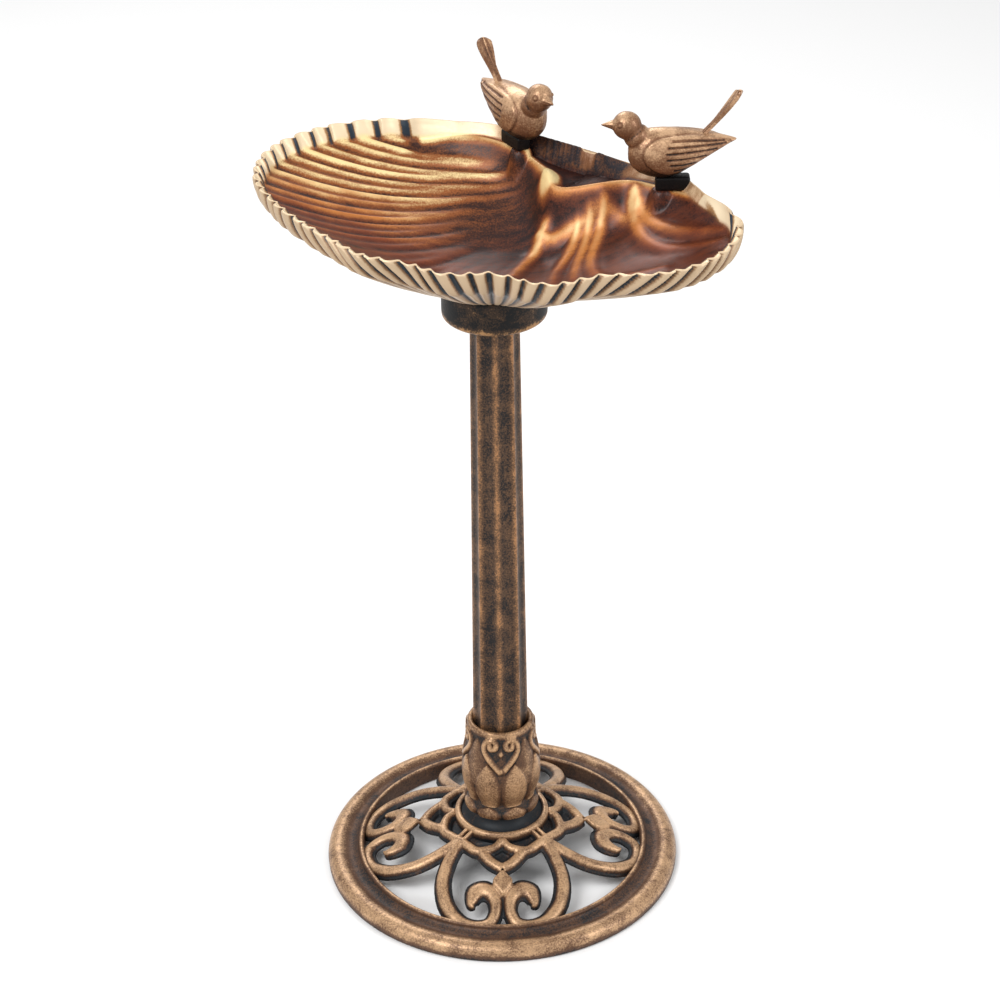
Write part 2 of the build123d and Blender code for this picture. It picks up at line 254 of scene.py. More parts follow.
def fused(bm, voxel, rounds):
    """Melts overlapping solids into one cast skin and softens it."""
    mesh = as_mesh("rough_casting", bm)
    rough = add_object("rough_casting", mesh)
    remesh = rough.modifiers.new("Melt", "REMESH")
    remesh.mode = "VOXEL"
    remesh.voxel_size = voxel
    remesh.adaptivity = 0
    bpy.context.view_layer.update()
    ready = rough.evaluated_get(bpy.context.evaluated_depsgraph_get())
    cast = bmesh.new()
    cast.from_mesh(ready.to_mesh())
    ready.to_mesh_clear()
    bpy.data.objects.remove(rough)
    bpy.data.meshes.remove(mesh)
    for _ in range(rounds):
        bmesh.ops.smooth_vert(
            cast, verts=cast.verts, factor=0.5, use_axis_x=True, use_axis_y=True, use_axis_z=True
        )
    return cast


# --- shader pieces ---


def shade(red, green, blue):
    """A colour from its 0 to 255 screen values."""
    return tuple(
        c / 3294.6 if c < 10.31 else ((c / 255 + 0.055) / 1.055) ** 2.4 for c in (red, green, blue)
    ) + (1.0,)


def add_node(tree, kind, **settings):
    made = tree.nodes.new(kind)
    for name, value in settings.items():
        setattr(made, name, value)
    return made


def feed(tree, socket, value):
    if isinstance(value, bpy.types.NodeSocket):
        tree.links.new(value, socket)
    else:
        socket.default_value = value


def feed_all(tree, sockets, **values):
    """Fills sockets by name, with an underscore for each space."""
    for label, value in values.items():
        feed(tree, sockets[label.replace("_", " ")], value)


def maths(tree, operation, a, b=0.0, clamp=False):
    made = add_node(tree, "ShaderNodeMath", operation=operation, use_clamp=clamp)
    feed(tree, made.inputs[0], a)
    feed(tree, made.inputs[1], b)
    return made.outputs[0]


def blended(tree, share, a, b):
    made = add_node(tree, "ShaderNodeMix", data_type="RGBA")
    feed(tree, made.inputs[0], share)
    feed(tree, made.inputs[6], a)
    feed(tree, made.inputs[7], b)
    return made.outputs[2]


def centred(tree, noise, strength):
    """Noise made to swing about zero."""
    return maths(tree, "MULTIPLY", maths(tree, "SUBTRACT", noise, 0.5), strength)


def ranged(tree, value, low, high, to_low=0.0, to_high=1.0):
    made = add_node(tree, "ShaderNodeMapRange", interpolation_type="SMOOTHSTEP")
    for k, setting in enumerate((value, low, high, to_low, to_high)):
        feed(tree, made.inputs[k], setting)
    return made.outputs[0]


def object_place(tree):
    return add_node(tree, "ShaderNodeTexCoord").outputs["Object"]


def mottle(tree, coordinates, size, detail=3.0, roughness=0.55, distortion=0.0):
    """Noise whose patches are about size metres across."""
    made = add_node(tree, "ShaderNodeTexNoise")
    feed_all(tree, made.inputs, Vector=coordinates, Scale=1 / size, Detail=detail)
    feed_all(tree, made.inputs, Roughness=roughness, Distortion=distortion)
    return made.outputs["Fac"]


def stretched(tree, coordinates, scale):
    made = add_node(tree, "ShaderNodeMapping")
    feed_all(tree, made.inputs, Vector=coordinates, Scale=scale)
    return made.outputs[0]


def new_group(name, inputs, outputs):
    group = bpy.data.node_groups.new(name, "ShaderNodeTree")
    for label, kind, value in inputs:
        socket = group.interface.new_socket(label, in_out="INPUT", socket_type=kind)
        socket.default_value = value
    for label, kind in outputs:
        group.interface.new_socket(label, in_out="OUTPUT", socket_type=kind)
    return group, group.nodes.new("NodeGroupInput").outputs, group.nodes.new("NodeGroupOutput").inputs


FLOAT, COLOUR = "NodeSocketFloat", "NodeSocketColor"


def make_patina_and_painted_light():
    """Antique finish: dark in the recesses, brown on the body, rubbed bright on what stands out. On the birds
    the relief input also carries painted light, so the recess colour is their painted shadow and the rubbed
    colour their painted highlight.
    """
    group, given, out = new_group(
        "patina_and_painted_light",
        (
            ("Relief And Painted Light", FLOAT, 0.5),
            ("Speckle", FLOAT, 0.3),
            ("Blotch", FLOAT, 0.3),
            ("Recess Colour", COLOUR, shade(30, 30, 32)),
            ("Body Colour", COLOUR, shade(110, 75, 50)),
            ("Rubbed Colour", COLOUR, shade(205, 165, 120)),
        ),
        (("Colour", COLOUR), ("Wear", FLOAT), ("Grain", FLOAT)),
    )
    place = object_place(group)
    blotch = mottle(group, place, 0.022, 4.0, 0.6, 0.6)
    speckle = mottle(group, place, 0.0016, 2.0, 0.65)
    grain = mottle(group, place, 0.0026, 3.0, 0.6)
    spread = centred(group, blotch, given["Blotch"])
    specks = centred(group, speckle, given["Speckle"])
    uneven = maths(group, "ADD", maths(group, "MULTIPLY", spread, 3.0), maths(group, "MULTIPLY", specks, 3.0))
    wear = maths(group, "ADD", given["Relief And Painted Light"], uneven)
    to_body = ranged(group, wear, 0.05, 0.45)
    to_rubbed_and_highlight = ranged(group, wear, 0.45, 0.95)
    colour = blended(group, to_body, given["Recess Colour"], given["Body Colour"])
    colour = blended(group, to_rubbed_and_highlight, colour, given["Rubbed Colour"])
    group.links.new(colour, out["Colour"])
    group.links.new(ranged(group, wear, 0.1, 0.9), out["Wear"])
    group.links.new(maths(group, "ADD", grain, maths(group, "MULTIPLY", speckle, 0.4)), out["Grain"])
    return group


def noted(tree, name):
    return add_node(tree, "ShaderNodeAttribute", attribute_name=name).outputs["Fac"]


def bump(tree, height, strength, distance):
    made = add_node(tree, "ShaderNodeBump")
    feed_all(tree, made.inputs, Strength=strength, Distance=distance, Height=height)
    return made.outputs["Normal"]


def new_material(name, metallic, coat=0.0, coat_roughness=0.2):
    material = bpy.data.materials.new(name)
    material.use_nodes = True
    tree = material.node_tree
    surface = tree.nodes["Principled BSDF"]
    feed_all(tree, surface.inputs, Specular_IOR_Level=0.3, Metallic=metallic)
    feed_all(tree, surface.inputs, Coat_Weight=coat, Coat_Roughness=coat_roughness)
    return material, tree, surface.inputs


def aged_bronze(name, relief_and_painted_light, recess, body, rubbed, speckle, blotch, rough):
    """A cast finish, which on the birds also paints highlight and shadow. relief_and_painted_light is the
    name of the vertex numbers it follows, or a plain share.
    """
    material, tree, surface = new_material(name, 0.4, 0.1, 0.35)
    finish_node = add_node(tree, "ShaderNodeGroup", node_tree=patina_and_painted_light)
    given, got = finish_node.inputs, finish_node.outputs
    feed(tree, given["Relief And Painted Light"], noted(tree, relief_and_painted_light) if isinstance(relief_and_painted_light, str) else relief_and_painted_light)
    feed_all(tree, given, Speckle=speckle, Blotch=blotch)
    feed_all(tree, given, Recess_Colour=shade(*recess), Body_Colour=shade(*body))
    feed_all(tree, given, Rubbed_Colour=shade(*rubbed))
    roughness = ranged(tree, got["Wear"], 0.0, 1.0, rough + 0.16, rough - 0.04)
    grain = bump(tree, got["Grain"], 0.35, 0.0006)
    feed_all(tree, surface, Base_Color=got["Colour"], Roughness=roughness, Normal=grain)
    return material


def shell_finish():
    """The bowl: cream and slate on the side wall, gold ribs behind, red-brown in front. The slate in the
    flute grooves is partly painted shade.
    """
    material, tree, surface = new_material("shell_lacquer", 0.2, 0.08, 0.3)
    place = object_place(tree)
    relief_and_painted_light, tone, wall, under = (noted(tree, n) for n in ("relief_and_painted_light", "tone", "wall", "under"))
    streak = mottle(tree, stretched(tree, place, (0.35, 1.6, 1.0)), 0.012, 4.0, 0.6, 0.4)
    speck = mottle(tree, place, 0.0015, 2.0, 0.6)
    patch = mottle(tree, place, 0.035, 4.0, 0.55, 0.5)
    uneven = maths(tree, "ADD", centred(tree, streak, 0.55), centred(tree, speck, 0.45))
    uneven = maths(tree, "MULTIPLY", uneven, ranged(tree, wall, 0.0, 1.0, 1.0, 0.75))
    wear = maths(tree, "ADD", relief_and_painted_light, uneven)
    warm = maths(tree, "ADD", tone, centred(tree, patch, 0.7), True)
    crest = blended(tree, ranged(tree, warm, 0.0, 0.5), shade(136, 66, 34), shade(196, 124, 62))
    crest = blended(tree, ranged(tree, warm, 0.45, 1.0), crest, shade(250, 224, 164))
    crest = blended(tree, wall, crest, shade(240, 220, 186))
    crest = blended(tree, under, crest, shade(176, 150, 120))
    flank = blended(tree, ranged(tree, warm, 0.0, 1.0), shade(98, 47, 29), shade(150, 86, 42))
    flank = blended(tree, wall, flank, shade(166, 124, 80))
    flank = blended(tree, under, flank, shade(122, 90, 62))
    groove = blended(tree, warm, shade(32, 18, 19), shade(52, 27, 21))
    # Painted shade: the slate groove colours of the side wall and the underside are partly shade in the flute
    # grooves, partly dark patina there.
    groove = blended(tree, wall, groove, shade(44, 56, 68))
    groove = blended(tree, under, groove, shade(38, 46, 52))
    colour = blended(tree, ranged(tree, wear, 0.05, 0.4), groove, flank)
    colour = blended(tree, ranged(tree, wear, 0.35, 0.8), colour, crest)
    roughness = ranged(tree, speck, 0.3, 0.7, 0.36, 0.5)
    feed_all(tree, surface, Base_Color=colour, Roughness=roughness, Normal=bump(tree, speck, 0.12, 0.0005))
    return material


def steel():
    material, tree, surface = new_material("zinc_steel", 1.0)
    place = object_place(tree)
    cloud = mottle(tree, place, 0.004, 4.0)
    scratch = mottle(tree, stretched(tree, place, (6.0, 6.0, 0.6)), 0.003, 2.0)
    colour = blended(tree, cloud, shade(128, 132, 136), shade(186, 188, 190))
    roughness = ranged(tree, scratch, 0.3, 0.7, 0.28, 0.46)
    feed_all(tree, surface, Base_Color=colour, Roughness=roughness, Normal=bump(tree, scratch, 0.2, 0.0002))
    return material


def rubber():
    material, tree, surface = new_material("black_rubber", 0.0)
    place = object_place(tree)
    dust = mottle(tree, place, 0.003, 4.0)
    colour = blended(tree, dust, shade(18, 18, 19), shade(46, 45, 43))
    roughness = ranged(tree, dust, 0.3, 0.7, 0.62, 0.8)
    feed_all(tree, surface, Base_Color=colour, Roughness=roughness, Normal=bump(tree, dust, 0.25, 0.0003))
    return material


patina_and_painted_light = make_patina_and_painted_light()
# relief and painted light, then the colours of recess and painted shadow, body, and rubbed edge and painted
# highlight, then speckle, blotch and roughness
bronzes = {
    "base_bronze": ("relief_and_painted_light", (30, 34, 38), (96, 68, 50), (200, 162, 124), 0.26, 0.26, 0.42),
    "socket_bronze": ("relief_and_painted_light", (28, 32, 34), (94, 66, 47), (196, 156, 116), 0.24, 0.24, 0.42),
    "column_bronze": ("relief_and_painted_light", (28, 25, 26), (90, 66, 47), (170, 122, 80), 0.42, 0.34, 0.5),
    "collar_bronze": ("relief_and_painted_light", (14, 14, 15), (60, 43, 29), (164, 122, 78), 0.4, 0.6, 0.45),
    # birds: the rubbed colour is their painted highlight, the recess colour their painted shadow
    "bird_bronze": ("relief_and_painted_light", (38, 26, 22), (128, 90, 64), (212, 172, 134), 0.24, 0.3, 0.38),
    # perch: its near-black colours are partly painted shade under the birds
    "perch_bronze_and_shade": (0.12, (10, 9, 10), (30, 22, 20), (90, 66, 46), 0.3, 0.3, 0.42),
}
base_bronze, socket_bronze, column_bronze, collar_bronze, bird_bronze, perch_bronze_and_shade = (
    aged_bronze(name, *looks) for name, looks in bronzes.items()
)
shell_lacquer = shell_finish()
zinc_steel = steel()
black_rubber = rubber()


# --- base ---


def base_ring():
    """Outer roll, dark channel and inner bead, hollow underneath."""
    inner, outer = ring_inner_radius, ring_outer_radius
    bead = (inner + 3, 18.6)
    section = [(inner + 1.5, 0), (inner, 2)]
    section += arc((inner, 2), (inner - 0.1, 9), (inner + 0.3, 16), 4)
    section += arc((inner + 0.3, 16), bead, (inner + 5.6, 15.6), 12)
    section += arc((inner + 5.6, 15.6), (inner + 11, 12.2), (inner + 18, 13.2), 10)
    section += arc((inner + 18, 13.2), (outer - 5, 13.6), (outer, 5.5), 18)
    section += [(outer - 0.3, 1.5), (outer - 2, 0), (outer - 7, 0), (outer - 9, 6)]
    section += [(inner + 9, 7), (inner + 8, 0)]
    bm = spun(section, 360)
    place = places(bm)
    out = from_axis(place) - inner
    roll = step(11, 25, out) * step(2, 9, place[:, 2])
    bright = np.maximum(roll, np.exp(-(((out - 2.8) / 2.1) ** 2)))
    note(bm, "relief_and_painted_light", 0.24 + 0.5 * bright)
    return finish("base_ring", bm, "stand", "bronze", base_bronze, stands_for=("base",))


def crown_height(radius):
    """Top of the scrollwork, which falls from the boss to the ring."""
    out = radius - crown_start_radius
    return crown_start_height - crown_slope * out - crown_curve * out * out


def strap_section():
    """Half-round strap, 12 wide, on a thin ledge, 16 wide."""
    half = [(0.0, 0.0)] + arc((0, 0), (4.2, -1.7), (5.9, -5.0), 5) + [(7.5, -5.5), (8.0, -7.0), (7.0, -9.0)]
    return [(-x, y) for x, y in reversed(half[1:])] + half


def strap(bm, points, widths):
    part = bmesh.new()
    section = strap_section()
    line = smooth_line(points, 8)
    share = np.interp(np.linspace(0, 1, len(line)), np.linspace(0, 1, len(widths)), widths)
    run = np.gradient(line, axis=0)
    run /= np.linalg.norm(run, axis=1)[:, None]
    loops = []
    for (x, y), (tx, ty), wide in zip(line, run, share):
        radius = np.hypot(x, y)
        fall = -crown_slope - 2 * crown_curve * (radius - crown_start_radius)
        up = Vector((-fall * x / radius, -fall * y / radius, 1)).normalized()
        side = Vector((tx, ty, 0)).cross(up).normalized()
        origin = Vector((x, y, crown_height(radius)))
        ring = bmesh.ops.create_circle(part, cap_ends=False, radius=1, segments=len(section))["verts"]
        for vert, (across, high) in zip(ring, section):
            vert.co = origin + side * across * wide + up * high
        loops.append(ring)
    skin_over(part, loops)
    merge_into(bm, part)


def merge_into(bm, part):
    mesh = as_mesh("part", part)
    bm.from_mesh(mesh)
    bpy.data.meshes.remove(mesh)


def round_edges(part, offset, segments):
    bmesh.ops.bevel(
        part, geom=list(part.edges), offset=offset, segments=segments, profile=0.5, affect="EDGES",
        material=-1,
    )


def lump(bm, outline, sag, thickness, bevel):
    """A cushion-topped lug over the crown, with the given plan outline."""
    part = bmesh.new()
    ring = bmesh.ops.create_circle(part, cap_ends=True, radius=1, segments=len(outline))["verts"]
    for vert, (x, y) in zip(ring, outline):
        vert.co = (x, y, crown_height(np.hypot(x, y)) - sag)
    grown = bmesh.ops.extrude_face_region(part, geom=list(part.faces))["geom"]
    fresh = [v for v in grown if isinstance(v, bmesh.types.BMVert)]
    bmesh.ops.translate(part, verts=fresh, vec=(0, 0, -thickness))
    face_outward(part)
    round_edges(part, bevel, 3)
    merge_into(bm, part)


def scroll_motif(bm):
    """Front motif: two scrolls with curled heads, a chevron, a link, and lobes over a dark web. The webs
    close the holes as pockets, and their dark is partly painted shadow in the holes.
    """

    def at(side, share):
        return (side, -boss_radius - share * (crown_end_radius - boss_radius))

    for way in (1, -1):
        scroll = [polar(lobe_radius, -45)]
        scroll += [at(*p) for p in ((54, 0.24), (58, 0.46), (54, 0.69), (42, 0.87), (27, 0.94), (13, 0.92))]
        scroll += [at(*p) for p in ((6.8, 0.80), (8.5, 0.66), (17, 0.575), (26, 0.595))]
        scroll += [at(*p) for p in ((30, 0.71), (28, 0.76))]
        widths = (1.0, 1.1, 1.12, 1.15, 1.12, 1.05, 1.0, 0.95, 1.1, 1.45, 1.5, 0.8, 0.2)
        strap(bm, [(way * x, y) for x, y in scroll], widths)
        chevron = [at(0, 0.35), (11, -70), polar(lobe_radius + 1, -70)]
        strap(bm, [(way * x, y) for x, y in chevron], (0.95, 0.95))
        lobe = [(0, -46)] + [polar(r, a) for r, a in ((55, -82), (61.5, -67.5), (59.5, -55), (58, -45))]
        strap(bm, [(way * x, y) for x, y in lobe], (0.72, 0.88, 0.9))
    for turn in (-3.2, 3.2):
        bar = [polar(44, -45 + 1.3 * turn), polar(50, -45 + 1.1 * turn), polar(58, -45 + turn)]
        strap(bm, bar, (0.36, 0.36))
    arc_bearings = range(-45, -136, -15)
    shadow_web = [polar(43, a) for a in arc_bearings] + [polar(57, a) for a in reversed(arc_bearings)]
    # Painted shadow: the webs under the lobe ring and the link sit deep below the crown, so they take the
    # dark recess colour and fill the holes with it.
    shadow_web_sag, shadow_web_thickness, shadow_web_edge = 8.5, 3, 0.6
    for outline in (shadow_web, [(0, -50), (15, -64), (0, -78), (-15, -64)]):
        lump(bm, outline, shadow_web_sag, shadow_web_thickness, shadow_web_edge)
    link = [at(0, 0.37), at(-9.5, 0.475), at(-9.5, 0.53), at(0, 0.66), at(9.5, 0.53), at(9.5, 0.475)]
    lump(bm, link, -1.2, 8, 2.4)


def scrollwork():
    motif = bmesh.new()
    scroll_motif(motif)
    whole = bmesh.new()
    for quarter in range(4):
        turned = motif.copy()
        quarter_turn = Matrix.Rotation(quarter * pi / 2, 3, "Z")
        bmesh.ops.rotate(turned, verts=turned.verts, cent=(0, 0, 0), matrix=quarter_turn)
        merge_into(whole, turned)
    motif.free()
    bm = fused(whole, 0.9, 2)
    place = places(bm)
    radius = from_axis(place)
    depth = crown_height(radius) - place[:, 2]
    # Darker with depth below the crown: dark patina in the hollows, and painted shadow on the deep webs.
    note(bm, "relief_and_painted_light", 0.78 - 0.7 * step(0.8, 5.6, depth))
    return finish("scrollwork", bm, "stand", "bronze", base_bronze)


def boss():
    """Round boss: gold rim, dark cove, and the land that the socket stands on."""
    land = boss_land_height
    section = [(rod_hole, 58), (rod_hole, land), (25, land), (26, land - 6), (30, land - 7)]
    section += arc((30, land - 7), (33.2, 53.6), (38.6, 50.4), 10)
    section += arc((38.6, 50.4), (41.8, 53.2), (45, 50), 10)
    section += [(45.2, 44), (44, 41.5), (41, 41.5), (33, 49), (26, 54), (24, 58)]
    bm = spun(section, 192)
    place = places(bm)
    radius = from_axis(place)
    note(bm, "relief_and_painted_light", 0.02 + 0.72 * step(38.6, 40.8, radius) * step(45, 50.5, place[:, 2]))
    return finish("base_boss", bm, "stand", "bronze", base_bronze)


# --- lotus socket ---


def petal(across, height, low, wide_at, tip, half_width):
    """Share 0 outside to 1 at the middle of a pointed petal, across from its midrib."""
    rise = np.clip((height - low) / (wide_at - low), 0, 1)
    fall = np.clip((height - wide_at) / (tip - wide_at), 0, 1)
    width = half_width * np.where(height < wide_at, 0.78 + 0.22 * np.sin(rise * pi / 2), 1 - fall**2.6)
    inside = np.clip(1 - np.abs(across) / np.maximum(width, 1e-3), 0, 1)
    return np.where((height > low) & (height < tip), inside, 0)


def heart_lines():
    """The two scrolls of a heart and its stems, as distance from its middle and height."""
    scroll = [(1.4, 119), (7, 126), (13, 133), (17, 141), (15.5, 149), (9.8, 152.2), (5, 149.4)]
    scroll += [(5.6, 143.8), (10, 142.8), (11.2, 146)]
    right = smooth_line(scroll, 6)
    return right, right * (-1, 1)


def lotus_socket():
    """Turned vase with lotus petals below, hearts above and a ring of small petals at its foot."""
    foot, top = boss_land_height, socket_top
    body = smooth_line(
        (
            (33.2, foot - 3), (33.6, foot + 2), (31.2, foot + 7), (29.6, foot + 10), (31, foot + 15),
            (34.6, foot + 26), (35.6, foot + 42), (33.6, foot + 58), (31.8, foot + 72), (30.8, foot + 82),
        ),
        13,
    )
    section = [(rod_hole, foot), (26, foot), (26.5, foot - 5.4), (32, foot - 5.6)] + [tuple(p) for p in body]
    section += [(31.0, top - 9), (31.4, top - 7), (31.4, top - 4)]
    section += arc((31.4, top - 4), (29.8, top - 0.5), (26.4, top - 1.6), 8)
    section += [(26.2, top - 4), (27.4, top - 8), (27.4, column_bottom), (rod_hole, column_bottom)]
    bm = spun(section, 384)
    place = places(bm)
    radius = from_axis(place)
    turn = np.degrees(np.arctan2(place[:, 1], place[:, 0])) + 90
    height = place[:, 2]
    skin = (radius > 28.5) & (height > foot - 5) & (height < top - 5)

    def across(count, shift):
        pitch = 360 / count
        return ((turn - shift + pitch / 2) % pitch - pitch / 2) * pi / 180 * petal_radius

    big = petal(across(8, 22.5), height, foot + 9, foot + 26, foot + 60, 13.3)
    behind = petal(across(4, 45), height, foot + 34, foot + 56, foot + 84, 12)
    between = petal(across(8, 0), height, foot + 34, foot + 46, foot + 68, 9.0) * (big < 0.02)
    small = petal(across(8, 22.5), height, foot - 5, foot, foot + 8, 12.6)
    rise = 2.0 * np.minimum(big * 3.2, 1) ** 0.6 + 0.9 * big
    rise = np.maximum(rise, 1.1 * np.minimum(behind * 3, 1) ** 0.6 + 0.4 * behind)
    rise = np.maximum(rise, 0.8 * np.minimum(between * 3, 1))
    rise += 2.2 * np.minimum(small * 3, 1) ** 0.6
    shine = 0.18 + 0.2 * rise + 0.12 * behind
    spot = np.column_stack([across(4, 0), height])
    for line in heart_lines():
        gap, _ = near_line(spot, line)
        scroll = np.sqrt(np.clip(1 - (gap / 3.3) ** 2, 0, 1))
        rise = np.maximum(rise, 2.8 * scroll)
        shine = np.maximum(shine * step(0.6, 1.6, gap / 3.3), 0.8 * scroll)
    for middle, tall in ((foot + 71.5, 4.2), (foot + 54, 3.8)):
        gap = np.abs(spot[:, 0]) / 3.2 + np.abs(height - middle) / tall
        rise = np.maximum(rise, 2.4 * np.clip(1.25 - gap, 0, 1))
        shine = np.maximum(shine, 0.8 * np.clip(1.4 - gap, 0, 1))
    rise = np.where(skin, rise, 0)
    grow = (radius + rise) / np.maximum(radius, 1e-3)
    move(bm, np.column_stack([place[:, 0] * grow, place[:, 1] * grow, height]))
    lip = np.where(height > top - 9, 0.66, 0.1)
    note(bm, "relief_and_painted_light", np.where(skin, shine, lip))
    return finish("lotus_socket_cast", bm, "stand", "bronze", socket_bronze, stands_for=("lotus_socket",))


# --- column and collar ---


def column_tube():
    """Octagonal tapered tube with hollowed faces and soft arrises, one arris to the front."""
    outline = [(1.0, column_bottom), (1.0, column_top), (0.9, column_top), (0.9, column_bottom)]
    bm = spun(outline, 256)
    place = places(bm)
    turn = np.arctan2(place[:, 1], place[:, 0])
    share = (place[:, 2] - column_bottom) / (column_top - column_bottom)
    arris = arris_margin + column_bottom_radius + (column_top_radius - column_bottom_radius) * share
    past_arris = np.degrees(turn) % 45
    from_arris = np.minimum(past_arris, 45 - past_arris)
    from_middle = 22.5 - from_arris
    flat = arris * cos(pi / 8) / np.cos(np.radians(from_middle))
    hollow = flat - 1.2 * np.cos(np.radians(from_middle * 4)) ** 2
    outside = from_axis(place) > 0.95
    radius = np.where(outside, hollow, arris * cos(pi / 8) - 3.8)
    move(bm, np.column_stack([radius * np.cos(turn), radius * np.sin(turn), place[:, 2]]))
    note(bm, "relief_and_painted_light", np.where(outside, 0.25 + 0.42 * (1 - step(0, 13, from_arris)), 0.05))
    return finish("column_tube", bm, "stand", "dark_bronze", column_bronze, stands_for=("column",))


def collar_ring():
    """Turned collar with a rounded lower edge, rubbed bright, and the cup for the bowl's foot."""
    low = collar_bottom - collar_overhang
    section = [(rod_hole, cup_floor), (rod_hole, column_top), (column_top_radius + 1.0, column_top)]
    section += [(column_top_radius + 1.0, low + 1), (column_top_radius + 2.0, low)]
    section += [(collar_radius - 4, low)]
    section += arc((collar_radius - 4, low), (collar_radius - 1.2, low + 1.2),
                   (collar_radius, low + 4), 8)
    section += [(collar_radius, low + z) for z in (8, 14, 20, 27)]
    section += arc((collar_radius, collar_top - 2), (collar_radius - 0.6, collar_top - 0.6),
                   (collar_radius - 2, collar_top), 4)
    section += [(cup_radius + 1, collar_top), (cup_radius, collar_top - 1), (cup_radius, cup_floor)]
    bm = spun(section, 192)
    place = places(bm)
    radius = from_axis(place)
    edge = 1 - step(low + 3.5, low + 6.5, place[:, 2])
    note(bm, "relief_and_painted_light", 0.16 + 0.66 * edge * step(collar_radius - 6, collar_radius - 2, radius))
    return finish("collar_ring", bm, "stand", "dark_bronze", collar_bronze, stands_for=("column_collar",))


# --- bowl ---

umbo = np.array((47.0, 76.0))
shell_axis = 235.0
flute_pitch = 16.0
flute_lean = 1.1
wall_drop = 20.0
wall_share = 0.86
flute_depth = 2.6
notch_depth = 2.6
wall_run = 6.5
rim_thickness = 3.0
lip_height = 2.2
rib_bend, rib_bend_reach = 1.25, 55
lean_height = 26
hinge_line = (
    (-62, 162, 690), (-40, 158, 690), (-10, 149, 688), (15, 134, 686), (32, 114, 684),
    (43, 95, 682), (48, 76, 681), (53, 62, 677), (70, 53, 681), (94, 50, 686),
    (116, 50, 688), (137, 41, 688), (162, 23, 688), (184, -4, 690), (200, -22, 695),
)
fold_line = ((40, 46), (50, 39), (62, 37), (77, 37), (94, 40), (106, 36), (116, 28))
floor_ribs = (
    ((44, 48), (34, 31), (25, 14), (17, -2)),
    ((73, 36), (66, 20), (58, 5), (51, -14), (50, -36)),
    ((84, 38), (77, 16), (71, -6), (68, -30), (73, -50)),
    ((96, 40), (88, 18), (83, -7), (86, -31), (98, -48), (118, -58), (142, -64)),
    ((121, 38), (124, 17), (131, -8), (147, -29), (168, -43), (190, -54)),
    ((122, 40), (134, 16), (150, -6), (170, -24), (192, -38)),
)


def rim_radius(angle):
    """Radius of the bowl's rim, a smooth curve through rim_shape."""
    shape = np.array(rim_shape)
    pitch = 360 / len(shape)
    k = np.floor(angle / pitch).astype(int)
    nearby = [shape[(k + j) % len(shape)] for j in (-1, 0, 1, 2)]
    return bowl_reach * curve_through(*nearby, angle / pitch - k)


def umbo_bearing(dx, dy):
    """Bearing from the umbo in degrees, 0 along the shell's axis."""
    return (np.degrees(np.arctan2(dy, dx)) - shell_axis + 180) % 360 - 180


def rim_walk():
    """For each bearing from the umbo, how far along the rim its rib ends, and which way it leans."""
    angle = np.arange(0, 3600) / 10
    radius = rim_radius(angle)
    x, y = polar_points(radius, angle)
    length = np.concatenate([[0], np.cumsum(np.hypot(np.diff(x), np.diff(y)))])
    bearing = umbo_bearing(x - umbo[0], y - umbo[1])
    order = np.argsort(bearing)
    along = (length[order] - length[order][0]) % length[-1]
    lean = np.sin(np.radians(2 * angle)) * step(-0.1, 0.4, -np.sin(np.radians(angle)))
    return bearing[order], along, lean[order]


walk_bearing, walk_length, walk_lean = rim_walk()


def ribs(x, y, drop):
    """Phase of the ribs, which leave the umbo along the hinge, bend out, and lean down the wall."""
    dx, dy = x - umbo[0], y - umbo[1]
    away = np.hypot(dx, dy)
    straight = umbo_bearing(dx, dy) / (1 + rib_bend * np.exp(-away / rib_bend_reach))
    lean = flute_lean * np.minimum(drop, lean_height) * np.interp(straight, walk_bearing, walk_lean)
    phase = (np.interp(straight, walk_bearing, walk_length) - lean) / flute_pitch
    return phase, away, straight


def floor_reach(rim):
    """Radius at which the floor meets the wall."""
    return rim - wall_run - rim_thickness


def wall_phase(angle, rim, drop):
    return ribs(*polar_points(floor_reach(rim), angle), drop)[0]


def flute(phase):
    """1 in the narrow groove between two flutes, -1 on the back of a flute."""
    return np.cos(2 * pi * phase + 0.5 * np.sin(2 * pi * phase) + 0.5 * np.sin(2.3 * phase))


def ridge(points, line, reach):
    gap, along = near_line(points, smooth_line(line, 6))
    return np.exp(-((gap / reach) ** 2)) * (1 - 0.35 * along)


def dish_rise(share):
    """Height of the dish over its lowest point, share of the way from the collar to the rim."""
    return (bowl_rim - bowl_bottom - 4) * (0.62 * share + 0.2 * share**2)


def floor_height(x, y, rim):
    """The inside without its wall: a dished cone, and the hinge plate with its ridge."""
    share = (np.hypot(x, y) - collar_radius) / (rim - collar_radius)
    share = (share + np.sqrt(share**2 + 0.003)) / 2
    plain = bowl_bottom + 4.2 + dish_rise(share)
    line = smooth_line(hinge_line, 6)
    gap, along = near_line(np.column_stack([x, y]), line[:, :2])
    steps = np.linspace(0, 1, len(line))
    near_x, near_y, top = (np.interp(along, steps, line[:, k]) for k in range(3))
    top = plain + (top - plain) * step(-0.02, 0.16, along) * step(-0.02, 0.05, 1 - along)
    outward = (near_x - 0.2 * umbo[0]) * (x - near_x) + (near_y - 0.2 * umbo[1]) * (y - near_y)
    behind = (outward > 0) * step(0.0, 0.1, along) * step(0.0, 0.04, 1 - along)
    front = plain + (top - plain) * np.exp(-((gap / 10) ** 1.6))
    plate = top - 5.5 * (1 - np.exp(-((gap / 9) ** 2)))
    return front + (plate - front) * behind, behind, gap


def bowl_rows():
    """The half section as (share of the way out, layer): 2 inside, down to 0 outside, below 0 foot."""
    inside = [(k / 84, 2.0) for k in range(85)]
    lip = [(1.0, 1.5), (1.0, 1.0), (1.0, 0.5)]
    wall = [(1 - 0.01 * k, 0.0) for k in range(15)]
    under = [(wall_share * (1 - k / 25), 0.0) for k in range(1, 26)]
    return inside + lip + wall + under + [(0.0, -float(k)) for k in range(1, 6)]


